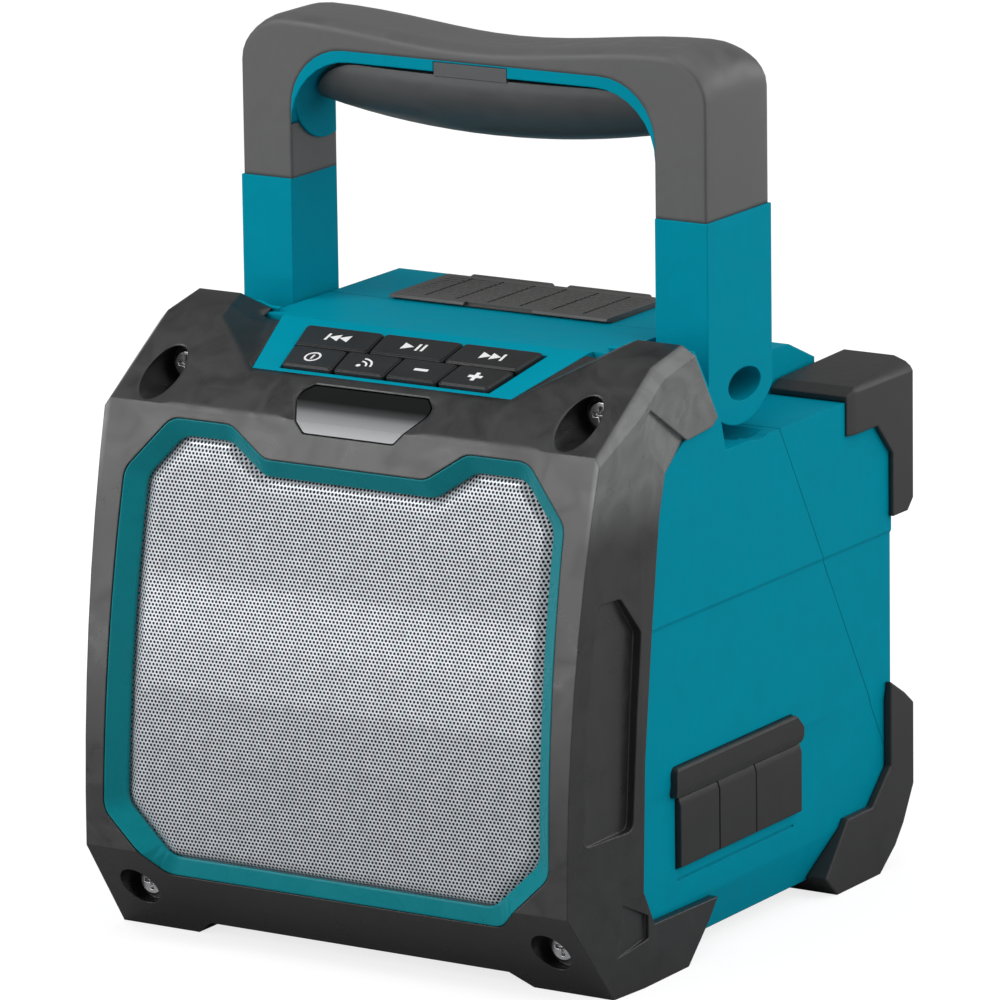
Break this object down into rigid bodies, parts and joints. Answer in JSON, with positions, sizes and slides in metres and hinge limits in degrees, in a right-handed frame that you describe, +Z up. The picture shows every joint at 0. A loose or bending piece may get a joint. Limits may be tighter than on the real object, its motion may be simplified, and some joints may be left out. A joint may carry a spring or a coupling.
{
  "type": "jobsite bluetooth speaker",
  "caption": "Rugged portable speaker with a perforated front grille in a bumper frame, sloped top keys, a folding carry handle, a hinged battery lid and capped side sockets.",
  "frame": {"origin": "bottom centre of the bounding box, on the ground between the feet", "axes": "+Z up, -Y towards the grille, +X towards the side with the sockets"},
  "size_m": [0.206, 0.2295, 0.312],
  "materials": {
    "teal_shell": "satin",
    "teal_bezel": "satin",
    "frame_black": "satin",
    "handle_black": "satin",
    "grip_rubber": "satin",
    "bumper_rubber": "matte",
    "flap_rubber": "matte",
    "key_rubber": "satin",
    "mat_rubber": "matte",
    "grille_metal": "satin",
    "window_lens": "glossy",
    "lid_plastic": "satin",
    "inner_plastic": "satin",
    "bush_plastic": "satin",
    "steel": "satin",
    "terminal_brass": "satin",
    "board": "satin",
    "basket_metal": "satin",
    "magnet_metal": "matte",
    "cone_paper": "matte",
    "coil": "satin",
    "dome": "satin",
    "sink_metal": "satin",
    "wire_jacket": "satin"
  },
  "bodies": {
    "case": {"front_housing": "teal_shell", "rear_housing": "teal_shell", "grille_bezel": "teal_bezel", "front_frame": "frame_black", "rear_bumper_top_left": "bumper_rubber", "rear_bumper_top_right": "bumper_rubber", "rear_bumper_bottom_left": "bumper_rubber", "rear_bumper_bottom_right": "bumper_rubber", "port_strip": "flap_rubber", "keypad_mat": "mat_rubber", "case_seal": "mat_rubber", "woofer_gasket": "mat_rubber", "woofer_surround": "mat_rubber", "grille_mesh": "grille_metal", "status_window": "window_lens", "battery_bay": "inner_plastic", "terminal_block": "inner_plastic", "aux_jack": "inner_plastic", "dc_jack": "inner_plastic", "tweeter_body": "inner_plastic", "capacitors": "inner_plastic", "pivot_bushes": "bush_plastic", "frame_screws": "steel", "housing_screws": "steel", "woofer_screws": "steel", "lid_hinge_pin": "steel", "usb_port": "steel", "tact_switches": "steel", "battery_terminals": "terminal_brass", "button_board": "board", "io_board": "board", "main_board": "board", "woofer_basket": "basket_metal", "woofer_magnet": "magnet_metal", "woofer_spider": "cone_paper", "tweeter_dome": "dome", "heat_sink": "sink_metal", "wiring": "wire_jacket"},
    "handle": {"handle_frame": "teal_shell", "handle_cover": "handle_black", "handle_grip": "grip_rubber", "handle_pivot_pins": "steel"},
    "lid": {"battery_lid": "lid_plastic"},
    "cone": {"woofer_cone": "cone_paper", "woofer_dust_cap": "cone_paper", "voice_coil": "coil"},
    "key_previous": {"button_previous": "key_rubber"},
    "key_play_pause": {"button_play_pause": "key_rubber"},
    "key_next": {"button_next": "key_rubber"},
    "key_power": {"button_power": "key_rubber"},
    "key_wireless": {"button_wireless": "key_rubber"},
    "key_volume_down": {"button_volume_down": "key_rubber"},
    "key_volume_up": {"button_volume_up": "key_rubber"},
    "flap_usb": {"port_flap_usb": "flap_rubber"},
    "flap_aux": {"port_flap_aux": "flap_rubber"},
    "flap_dc": {"port_flap_dc": "flap_rubber"}
  },
  "joints": [
    {"name": "handle_fold", "type": "hinge", "parent": "case", "child": "handle", "pos_m": [0, 0.0115, 0.194], "axis": [-1, 0, 0], "range_deg": [0, 80]},
    {"name": "lid_swing", "type": "hinge", "parent": "case", "child": "lid", "pos_m": [0, 0.0455, 0.2094], "axis": [-1, 0, 0], "range_deg": [0, 100]},
    {"name": "press_previous", "type": "slide", "parent": "case", "child": "key_previous", "axis": [0, 0.2874, -0.9578], "range_m": [0, 0.0009], "stiffness_N_per_m": 1000, "springref_m": -0.0005},
    {"name": "press_play_pause", "type": "slide", "parent": "case", "child": "key_play_pause", "axis": [0, 0.2874, -0.9578], "range_m": [0, 0.0009], "stiffness_N_per_m": 1000, "springref_m": -0.0005},
    {"name": "press_next", "type": "slide", "parent": "case", "child": "key_next", "axis": [0, 0.2874, -0.9578], "range_m": [0, 0.0009], "stiffness_N_per_m": 1000, "springref_m": -0.0005},
    {"name": "press_power", "type": "slide", "parent": "case", "child": "key_power", "axis": [0, 0.2874, -0.9578], "range_m": [0, 0.0009], "stiffness_N_per_m": 1000, "springref_m": -0.0005},
    {"name": "press_wireless", "type": "slide", "parent": "case", "child": "key_wireless", "axis": [0, 0.2874, -0.9578], "range_m": [0, 0.0009], "stiffness_N_per_m": 1000, "springref_m": -0.0005},
    {"name": "press_volume_down", "type": "slide", "parent": "case", "child": "key_volume_down", "axis": [0, 0.2874, -0.9578], "range_m": [0, 0.0009], "stiffness_N_per_m": 1000, "springref_m": -0.0005},
    {"name": "press_volume_up", "type": "slide", "parent": "case", "child": "key_volume_up", "axis": [0, 0.2874, -0.9578], "range_m": [0, 0.0009], "stiffness_N_per_m": 1000, "springref_m": -0.0005},
    {"name": "open_usb", "type": "hinge", "parent": "case", "child": "flap_usb", "pos_m": [0.102, -0.03275, 0.06105], "axis": [0, -1, 0], "range_deg": [0, 100], "stiffness_Nm_per_rad": 0.01},
    {"name": "open_aux", "type": "hinge", "parent": "case", "child": "flap_aux", "pos_m": [0.102, -0.007, 0.06105], "axis": [0, -1, 0], "range_deg": [0, 100], "stiffness_Nm_per_rad": 0.01},
    {"name": "open_dc", "type": "hinge", "parent": "case", "child": "flap_dc", "pos_m": [0.102, 0.0215, 0.06105], "axis": [0, -1, 0], "range_deg": [0, 100], "stiffness_Nm_per_rad": 0.01},
    {"name": "cone_stroke", "type": "slide", "parent": "case", "child": "cone", "axis": [0, -0.9906, 0.1368], "range_m": [-0.002, 0.002], "stiffness_N_per_m": 2000}
  ]
}
